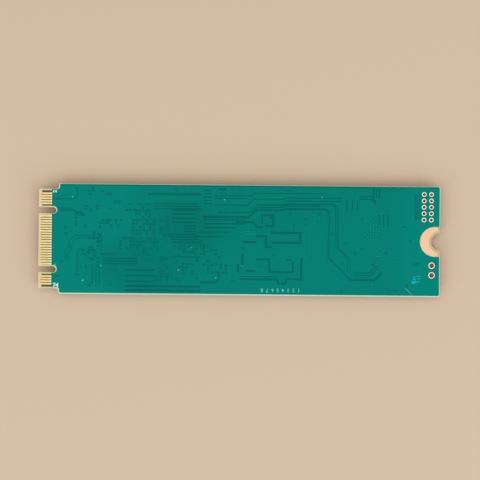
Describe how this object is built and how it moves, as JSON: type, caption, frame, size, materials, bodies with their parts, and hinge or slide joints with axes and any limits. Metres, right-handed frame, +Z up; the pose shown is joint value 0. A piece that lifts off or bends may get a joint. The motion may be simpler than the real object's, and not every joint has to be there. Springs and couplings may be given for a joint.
{
  "type": "m.2 solid-state drive",
  "caption": "Flat green solid-state drive card with a keyed gold card edge, a half-round mounting notch, plated holes and memory chips on its underside, lying on its chips.",
  "frame": {"origin": "under the middle of the card, on the surface that its chips lie on", "axes": "+X from the card edge to the mounting notch, +Y towards the low-numbered contacts, +Z up, out of the bare back of the board"},
  "size_m": [0.08, 0.022, 0.002],
  "materials": {
    "laminate": "bare woven glass laminate, milled edges",
    "solder_mask": "satin-gloss green solder mask over etched copper",
    "gold_plating": "hard gold plating on nickel",
    "pad_copper": "coated bare copper",
    "chip_mould": "matt black moulding compound",
    "solder": "bright tin solder",
    "coil_ferrite": "moulded iron powder",
    "crystal_ceramic": "dark sintered ceramic",
    "crystal_lid": "plated lid",
    "capacitor_ceramic": "fired tan ceramic",
    "resistor_body": "dark coated ceramic"
  },
  "bodies": {
    "root": {"board_laminate": "laminate", "solder_mask_back": "solder_mask", "solder_mask_front": "solder_mask", "contacts_back": "gold_plating", "contacts_front": "gold_plating", "mount_pad_back": "pad_copper", "mount_pad_front": "pad_copper", "header_barrels": "pad_copper", "test_hole_barrels": "pad_copper", "controller": "chip_mould", "controller_balls": "solder", "cache_memory": "chip_mould", "cache_memory_balls": "solder", "flash_memory_1": "chip_mould", "flash_memory_1_balls": "solder", "flash_memory_2": "chip_mould", "flash_memory_2_balls": "solder", "power_regulator": "chip_mould", "power_regulator_lands": "solder", "load_switch": "chip_mould", "load_switch_lands": "solder", "boot_memory": "chip_mould", "boot_memory_lands": "solder", "clock_crystal_base": "crystal_ceramic", "clock_crystal_lid": "crystal_lid", "coil_bodies": "coil_ferrite", "coil_terminals": "solder", "bulk_capacitor_bodies": "capacitor_ceramic", "bulk_capacitor_ends": "solder", "capacitor_bodies": "capacitor_ceramic", "capacitor_ends": "solder", "resistor_bodies": "resistor_body", "resistor_ends": "solder"}
  },
  "joints": []
}
